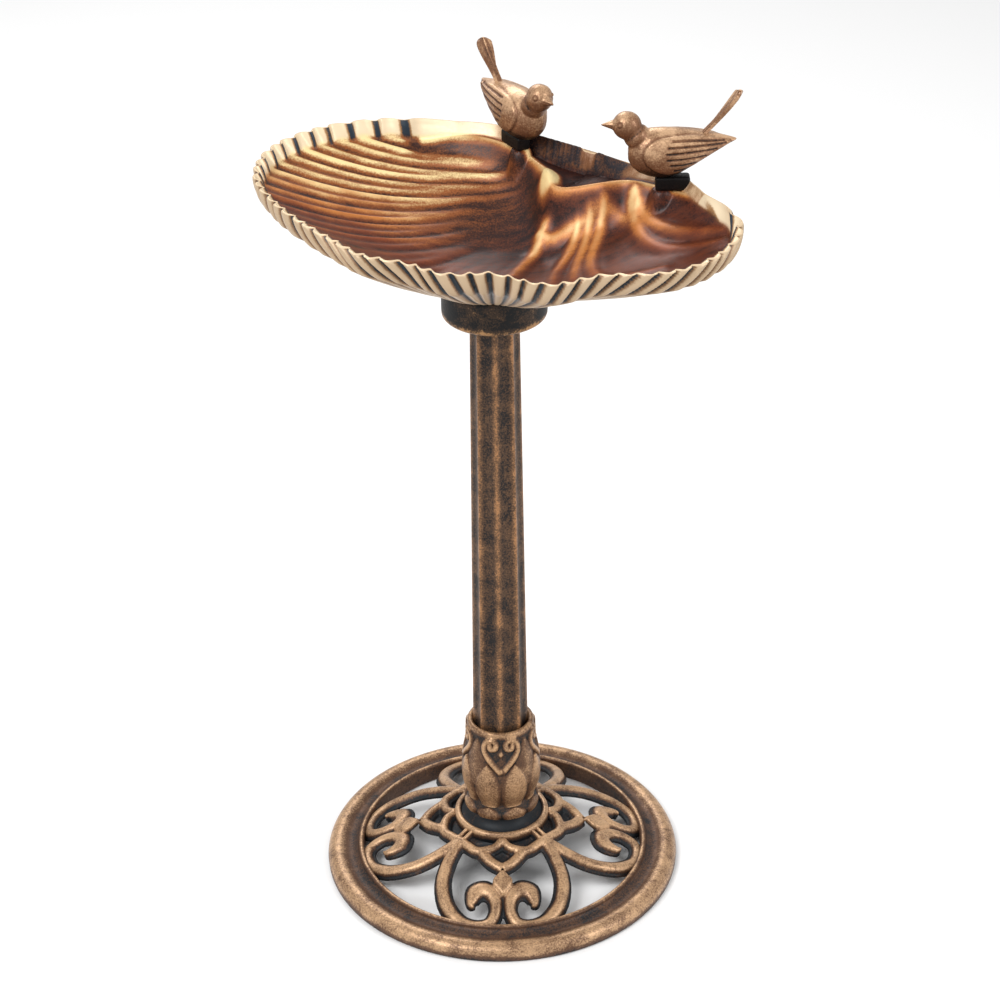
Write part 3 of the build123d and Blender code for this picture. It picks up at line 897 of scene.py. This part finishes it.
def shell_bowl():
    """The fluted shell, one closed skin."""
    bm = bmesh.new()
    verts = [bm.verts.new((share + 1, 0, layer)) for share, layer in bowl_rows()]
    edges = [bm.edges.new(pair) for pair in zip(verts, verts[1:])]
    spin(bm, verts + edges, 704)
    place = places(bm)
    angle = np.degrees(np.arctan2(place[:, 1], place[:, 0])) % 360
    share = from_axis(place) - 1
    layer = place[:, 2]
    rim = rim_radius(angle)
    fluted = 0.08 + 0.92 * step(98, 112, angle) * (1 - step(350, 360, angle))
    radius, height, looks = bowl_inside(angle, share, rim, fluted)
    parts = [(layer > 1.9, radius, height, looks)]
    parts.append((layer < 1.9,) + bowl_lip(angle, layer, rim, fluted))
    parts.append((layer < 0.1,) + bowl_outside(angle, share, rim, fluted))
    for here, part_radius, part_height, part_looks in parts:
        radius = np.where(here, part_radius, radius)
        height = np.where(here, part_height, height)
        looks = [np.where(here, a, b) for a, b in zip(part_looks, looks)]
    foot_steps = (
        (foot_radius, bowl_bottom), (foot_radius, bowl_foot), (foot_radius - 5, bowl_foot),
        (foot_radius - 5, bowl_bottom), (0, bowl_bottom),
    )
    for k, (foot_at, foot_height) in enumerate(foot_steps, 1):
        here = np.abs(layer + k) < 0.1
        radius = np.where(here, foot_at, radius)
        height = np.where(here, foot_height, height)
    x, y = polar_points(radius, angle)
    move(bm, np.column_stack([x, y, height]))
    for name, values in zip(("relief_and_painted_light", "tone", "wall", "under"), looks):
        note(bm, name, np.clip(values, 0, 1))
    bmesh.ops.remove_doubles(bm, verts=bm.verts, dist=1e-4)
    face_outward(bm)
    return finish("shell_bowl", bm, "shell", "shell_bronze", shell_lacquer, stands_for=("bowl",))


def hinge_notch(angle):
    """Small bites in the rim's top along the hinge, 0 to 1."""
    bite = step(0.45, 0.9, np.sin(np.radians(angle * 13)) * np.cos(np.radians(angle * 4)))
    return bite * step(18, 30, angle) * (1 - step(72, 80, angle))


def perch_pads(x, y):
    """Ledges behind, which the two perches stand on."""
    pads = np.zeros(len(x))
    for perch, heading in ((left_bird_perch, left_bird_heading), (right_bird_perch, right_bird_heading)):
        middle = bird_matrix(perch, heading) @ Vector((plinth_forward, 0, 0))
        away = np.hypot(x - middle.x, y - middle.y)
        pads = np.maximum(pads, bird_bottom - perch_height + 0.6 - 80 * step(7.5, 24, away))
    return pads


def bowl_inside(angle, share, rim, fluted):
    """Radius, height and looks of the inside: floor up to wall_share of the way out, then the wall."""
    floor_share = np.minimum(share / wall_share, 1)
    climb = np.clip((share - wall_share) / (1 - wall_share), 0, 1)
    foot = floor_reach(rim) * floor_share
    radius = foot + wall_run * climb
    x, y = polar_points(radius, angle)
    height, behind, gap = floor_height(x, y, rim)
    phase, away, straight = ribs(*polar_points(foot, angle), wall_drop * (1 - climb))
    fine = 0.5 - 0.5 * np.cos(2 * pi * phase)
    coarse = 0.5 - 0.5 * np.cos(pi * phase)
    near = 1 - step(70, 150, away)
    rib = near * coarse + (1 - near) * (0.8 * fine + 0.2 * coarse)
    open_floor = 1 - behind
    strength = 0.2 + 0.8 * (1 - step(-25, 15, straight))
    strength *= open_floor * step(8, 22, gap) * step(14, 40, away) * (0.35 + 0.65 * step(-20, 70, y))
    strength *= 1 - (1 - step(55, 130, away)) * step(-80, -45, straight)
    strength *= 0.82 + 0.18 * np.cos(2 * pi * phase / 3 + 1)
    points = np.column_stack([x, y])
    bands = ridge(points, fold_line, 6)
    fold = bands
    for line in floor_ribs:
        bands = np.maximum(bands, ridge(points, line, 7))
    bands = bands * open_floor
    knob = np.exp(-(((x - 50) / 11) ** 2) - ((y - 76) / 17) ** 2)
    lower_knob = np.exp(-(((x - 41) / 7) ** 2) - ((y - 45) / 7) ** 2)
    end_knob = np.exp(-(((x - 124) / 6) ** 2) - ((y - 33) / 9) ** 2)
    height = height + 3.6 * rib * strength + 3.8 * bands + 1.2 * fold * open_floor
    height += 4.5 * knob + 3.0 * lower_knob + 2.5 * end_knob
    height = np.maximum(height, perch_pads(x, y))
    height = height + (bowl_rim - 1.2 - height) * climb**0.9
    height -= notch_depth * hinge_notch(angle) * climb
    groove = flute(phase)
    depth = flute_depth * np.clip(0.35 + climb, 0, 1) * step(0.9, 1.0, floor_share)
    radius = radius - depth * groove * fluted

    on_wall = step(0.0, 0.25, climb)
    crest = np.exp(-((gap / 5) ** 2))
    knob = step(0.12, 0.8, knob)
    ribbed = 0.14 + 0.16 * step(60, -40, y) + 0.8 * rib * strength
    bright = np.maximum.reduce([ribbed, 0.85 * bands, 0.8 * crest, knob, lower_knob, end_knob])
    bright = np.where(behind > 0.5, np.maximum.reduce([0.75 * crest, knob, 0.12 + 0 * x]), bright)
    smooth_side = 0.1 + 0.75 * step(82, 92, angle) + 0.5 * (1 - step(22, 32, angle))
    smooth_side += 0.5 * hinge_notch(angle) * climb
    # The flute grooves are painted dark, partly as shade in them.
    wall_bright = (1 - step(-0.25, 0.9, groove)) * fluted + (1 - fluted) * smooth_side
    relief_and_painted_light = bright * (1 - on_wall) + wall_bright * on_wall
    off_hinge = step(-8, 40, gap + 40 * (1 - step(-45, 15, x)))
    tone = 0.04 + 0.95 * step(18, 130, y) * (1 - 0.8 * step(15, 60, x)) * off_hinge
    tone = np.maximum(tone, 0.75 * bands * step(-50, 48, y))
    tone = np.maximum.reduce([tone, 0.7 * crest, knob, 0.8 * lower_knob, 0.8 * end_knob])
    pale = 0.3 + 0.7 * step(80, 92, angle) + 0.3 * (1 - step(22, 34, angle))
    wall = on_wall * np.where(fluted > 0.5, 1.0, pale)
    return radius, height, (relief_and_painted_light, tone, wall, 0 * x)


def bowl_lip(angle, layer, rim, fluted):
    """The rounded edge, thin and rubbed bright except along the hinge."""
    groove = flute(wall_phase(angle, rim, 0 * angle))
    radius = rim - 1.1 - 0.95 * layer - flute_depth * groove * fluted
    notch = hinge_notch(angle)
    height = bowl_rim - lip_height + 1.2 * np.sin(np.clip(layer / 2, 0, 1) * pi) - notch_depth * notch
    dark = step(26, 36, angle) * (1 - step(78, 88, angle))
    relief_and_painted_light = 1.0 - dark * (0.85 - 0.75 * notch)
    return radius, height, (relief_and_painted_light, 0 * angle + 0.6, 0 * angle + 0.8, 0 * angle + 0.2)


def bowl_outside(angle, share, rim, fluted):
    """Underside up to the wall's corner, then the steep outer wall, both fluted."""
    out = np.clip(share / wall_share, 0, 1)
    rise = np.clip((share - wall_share) / (1 - wall_share), 0, 1)
    reach = (rim - 7 - collar_radius) * out
    low = bowl_bottom + dish_rise(reach / (rim - collar_radius))
    height = low + (bowl_rim - lip_height - low) * rise**1.15
    groove = flute(wall_phase(angle, rim, bowl_rim - height))
    radius = collar_radius + reach + 5.9 * (1 - (1 - rise) ** 2)
    radius -= flute_depth * groove * fluted * (0.15 + 0.85 * share)
    # The flute grooves are painted dark, partly as shade in them.
    bright = (1 - step(-1.0, 0.75, groove)) * fluted + (1 - fluted) * 0.5
    relief_and_painted_light = bright * (0.72 + 0.28 * rise) + 0.05
    return radius, height, (relief_and_painted_light, 0 * angle + 0.4, 0 * angle + 1, 1 - 0.15 * rise)


# --- birds ---


def bird_matrix(perch, heading):
    """Places a bird that was made along +X with its belly at the origin."""
    angle, inset = perch
    place = Vector(polar(float(rim_radius(np.array([angle]))[0]) - inset, angle))
    ahead = Vector(polar(1, heading))
    origin = place - plinth_forward * ahead
    return Matrix.Translation((origin.x, origin.y, bird_bottom)) @ Matrix.Rotation(radians(heading), 4, "Z")


# body from breast to wing tips: forward, lowest, highest, half width
body_sections = (
    (35.5, 16, 28, 5),
    (32, 9.5, 35, 10.5),
    (26, 4.5, 41, 15),
    (17, 1.2, 44, 18),
    (6, 0, 44.6, 19),
    (-7, 3, 44, 18.5),
    (-20, 11, 42.4, 16),
    (-32, 19, 40.4, 12.8),
    (-44, 27, 37.6, 8.6),
    (-53, 31.6, 35.6, 4.0),
    (-57, 33.2, 34.8, 1.4),
)
beak_sections = (
    (38, 39.5, 55, 8.8),
    (45, 42.4, 53.4, 6.2),
    (51, 44.8, 51.6, 3.9),
    (56, 46.6, 49.8, 1.9),
    (59.5, 47.8, 48.8, 0.5),
)
feather_lines = (
    ((1, 37.5), (-20, 37.2), (-46, 35.4)),
    ((5, 32.5), (-18, 33.2), (-47, 33.4)),
    ((6, 27.5), (-15, 28.6), (-39, 29.8)),
    ((5, 22.5), (-12, 23.2), (-30, 24.6)),
    ((2, 17.5), (-9, 17.8), (-22, 18.8)),
    ((-2, 12.5), (-8, 12.8), (-15, 14.0)),
)
eye = (43.6, 9.3, 50.8)
mouth_height = 48.4
wing_edge = (
    (-52, 34.5), (-30, 40.5), (-5, 41.5), (13, 39), (22, 32), (23, 22),
    (16, 13), (2, 7), (-16, 12.5), (-34, 23), (-52, 32.5),
)


def in_wing(forward, height):
    """Whether a point seen from the side is on the wing, and its distance from the wing's edge."""
    line = smooth_line(wing_edge, 5)
    inside = np.zeros(len(forward), bool)
    for (ax, ay), (bx, by) in zip(line, np.roll(line, -1, axis=0)):
        crosses = (ay > height) != (by > height)
        inside ^= crosses & (forward < (bx - ax) * (height - ay) / (by - ay + 1e-9) + ax)
    gap, _ = near_line(np.column_stack([forward, height]), line)
    return inside, gap


def ellipse_loft(bm, sections, segments):
    loops = []
    for forward, low, high, half_width in sections:
        ring = bmesh.ops.create_circle(bm, cap_ends=False, radius=1, segments=segments)["verts"]
        middle, half = (low + high) / 2, (high - low) / 2
        for vert in ring:
            x, y = vert.co.x, vert.co.y
            vert.co = (forward, x * half_width, middle + y * half)
        loops.append(ring)
    skin_over(bm, loops)


def ball(bm, place, radii):
    matrix = Matrix.Translation(place) @ Matrix.Diagonal((*radii, 1))
    bmesh.ops.create_uvsphere(bm, u_segments=32, v_segments=20, radius=1, matrix=matrix)


def bird(name, perch, heading):
    """Songbird: round head, pointed beak, folded grooved wings, on a dark perch block. Its colouring carries
    painted light and shade.
    """
    head = np.array((36.5, 0, 47.5))
    rough = bmesh.new()
    ellipse_loft(rough, body_sections, 36)
    ball(rough, head, (12.8, 11.8, 12.4))
    ball(rough, (28.5, 0, 38), (11.5, 11.8, 11.5))
    beak = bmesh.new()
    ellipse_loft(beak, beak_sections, 20)
    merge_into(rough, beak)
    face_outward(rough)
    bm = fused(rough, 0.75, 4)
    bm.normal_update()
    place = places(bm)
    normal = np.array([v.normal for v in bm.verts])
    forward, side, height = place.T
    inside, edge_gap = in_wing(forward, height)
    flank = step(0.15, 0.5, np.abs(normal[:, 1])) * (np.abs(side) > 1.5)
    raised = np.where(inside, step(0, 2.2, edge_gap), 0) * flank
    lift = 1.3 * raised
    groove = np.zeros(len(place))
    for line in feather_lines:
        gap, along = near_line(np.column_stack([forward, height]), smooth_line(line, 5))
        groove = np.maximum(groove, (1 - step(0.2, 1.35, gap)) * step(0, 0.08, along) * flank)
    lift -= 1.15 * groove
    eye_gap = np.linalg.norm(np.column_stack([forward, np.abs(side), height]) - eye, axis=1)
    lift += 0.75 * (1 - step(0.9, 1.7, eye_gap)) - 0.5 * np.exp(-(((eye_gap - 2.4) / 0.6) ** 2))
    neck_gap = np.linalg.norm((place - head) * (1, 1.05, 1), axis=1) - 13.9
    neck = np.exp(-((neck_gap / 1.5) ** 2)) * (1 - step(35, 40, forward))
    lift -= 0.8 * neck
    mouth = np.exp(-(((height - mouth_height) / 0.5) ** 2)) * step(48, 50, forward)
    lift -= 0.35 * mouth
    move(bm, place + normal * lift[:, None])
    # Painted light and shade: the top is painted lighter and downward-facing low parts darker, the raised
    # wing a little lighter, and feather grooves, neck crease, eye ring, mouth line and wing edge darker as
    # shade in the creases.
    light = 0.56 + 0.24 * normal[:, 2] + 0.08 * raised - 0.55 * groove - 0.42 * neck
    light -= 0.5 * (1 - step(2, 18, height)) * step(0.0, 0.8, -normal[:, 2])
    light -= 0.3 * np.exp(-(((eye_gap - 2.4) / 0.7) ** 2)) + 0.3 * mouth
    light -= 0.22 * np.exp(-((edge_gap / 0.8) ** 2)) * flank
    note(bm, "relief_and_painted_light", np.clip(light, 0, 1))
    add_perch(bm)
    bmesh.ops.transform(bm, verts=bm.verts, matrix=bird_matrix(perch, heading))
    return finish(f"{name}_figure", bm, "shell", "bird_bronze", bird_bronze, perch_bronze_and_shade, stands_for=(name,))


def add_perch(bm):
    """The low dark block between bird and shell, under the bird's rear half. Its near-black colour is partly
    painted shade under the bird.
    """
    part = bmesh.new()
    bmesh.ops.create_cube(part, size=1)
    bmesh.ops.scale(part, verts=part.verts, vec=(30, 13, perch_height + 1))
    bmesh.ops.translate(part, verts=part.verts, vec=(-3, 0, 0.5 - perch_height / 2))
    round_edges(part, 2.6, 5)
    for face in part.faces:
        face.material_index = 1
    merge_into(bm, part)


def bird_tail(name, perch, heading, length):
    """Paddle tail: narrow root, rounded end, slightly dished, with two fine grooves."""
    bm = bmesh.new()
    bmesh.ops.create_grid(bm, x_segments=24, y_segments=60, size=1)
    place = places(bm)
    across, along = place[:, 0], (place[:, 1] + 1) / 2
    run = -11 + (length + 11) * along
    grow = step(8, length - 6, run)
    width = (tail_root_width + (tail_width - tail_root_width) * grow) / 2
    left_over = np.clip((run - (length - 7.5)) / 7.5, 0, 1)
    width = width * np.sqrt(np.clip(1 - left_over**2.4, 0.004, 1))
    lift = 1.2 * (1 - across**2) - 0.5 * np.exp(-(((np.abs(across) - 0.36) / 0.09) ** 2)) * (1 - left_over)
    bend = -0.0022 * run**2
    move(bm, np.column_stack([across * width, run, lift + bend]))
    note(bm, "relief_and_painted_light", 0.62 + 0.2 * (1 - across**2) - 0.4 * np.exp(-(((np.abs(across) - 0.36) / 0.1) ** 2)))
    face_outward(bm)
    bmesh.ops.solidify(bm, geom=list(bm.verts) + list(bm.edges) + list(bm.faces), thickness=3.6)
    face_outward(bm)
    slope = radians(tail_slope)
    rows = ((0, -cos(slope), -sin(slope)), (1, 0, 0), (0, sin(slope), -cos(slope)))
    lean = Matrix(rows).to_4x4()
    bmesh.ops.transform(bm, verts=bm.verts, matrix=lean)
    bmesh.ops.translate(bm, verts=bm.verts, vec=(tail_place[0], 0, tail_place[1]))
    bmesh.ops.transform(bm, verts=bm.verts, matrix=bird_matrix(perch, heading))
    face_outward(bm)
    return finish(f"{name}_paddle", bm, "shell", "bird_bronze", bird_bronze, stands_for=(name,))


# --- build ---

base_ring()
scrollwork()
boss()
lotus_socket()
column_tube()
collar_ring()
shell_bowl()
bird("left_bird", left_bird_perch, left_bird_heading)
bird("right_bird", right_bird_perch, right_bird_heading)
bird_tail("left_bird_tail", left_bird_perch, left_bird_heading, tail_length)
bird_tail("right_bird_tail", right_bird_perch, right_bird_heading, right_tail_length)


def dress(node, material):
    """Gives a CAD node its finish."""
    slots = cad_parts[node].material_slots
    for k in range(len(slots)):
        slots[k].material = material


dress("seat_ring", black_rubber)
for fastener in ("bird_screws", "tie_rod", "rod_washers", "rod_nuts"):
    dress(fastener, zinc_steel)


# --- studio ---

camera_place = (0.0025, -2.228, 1.718)
camera_look_down, camera_roll = 30.66, -0.8
focal_length = 103.07


def studio_floor():
    bm = bmesh.new()
    bmesh.ops.create_grid(bm, x_segments=1, y_segments=1, size=30)
    mesh = as_mesh("floor", bm)
    floor = add_object("floor", mesh)
    material = bpy.data.materials.new("pale_floor")
    material.use_nodes = True
    tree = material.node_tree
    surface = tree.nodes["Principled BSDF"].inputs
    feed_all(tree, surface, Base_Color=shade(246, 246, 246), Roughness=0.9, Specular_IOR_Level=0.0)
    mesh.materials.append(material)


def area_light(name, place, target, size, power):
    lamp = bpy.data.lights.new(name, "AREA")
    lamp.shape = "RECTANGLE"
    lamp.size, lamp.size_y = size
    lamp.energy = power
    holder = add_object(name, lamp)
    holder.location = place
    holder.rotation_euler = (Vector(target) - Vector(place)).to_track_quat("-Z", "Y").to_euler()


def studio_lights():
    world = bpy.data.worlds.new("studio")
    world.use_nodes = True
    backdrop = world.node_tree.nodes["Background"].inputs
    backdrop["Color"].default_value = (1, 1, 1, 1)
    backdrop["Strength"].default_value = 0.62
    bpy.context.scene.world = world
    middle = (0, 0, 0.4)
    area_light("key_light", (-1.4, -1.6, 2.6), middle, (1.6, 1.6), 62)
    area_light("right_light", (1.9, -0.9, 1.5), middle, (0.8, 1.6), 22)
    area_light("back_light", (-0.6, 2.2, 2.2), (0, 0, 0.6), (1.6, 0.8), 26)


def studio_camera():
    lens = bpy.data.cameras.new("camera")
    lens.lens = focal_length
    lens.sensor_width = 36
    camera = add_object("camera", lens)
    pitch, roll = radians(90 - camera_look_down), radians(camera_roll)
    aim = Matrix.Rotation(pitch, 4, "X") @ Matrix.Rotation(roll, 4, "Z")
    camera.matrix_world = Matrix.Translation(camera_place) @ aim
    bpy.context.scene.camera = camera


studio_floor()
studio_lights()
studio_camera()
bpy.context.scene.view_settings.view_transform = "Standard"
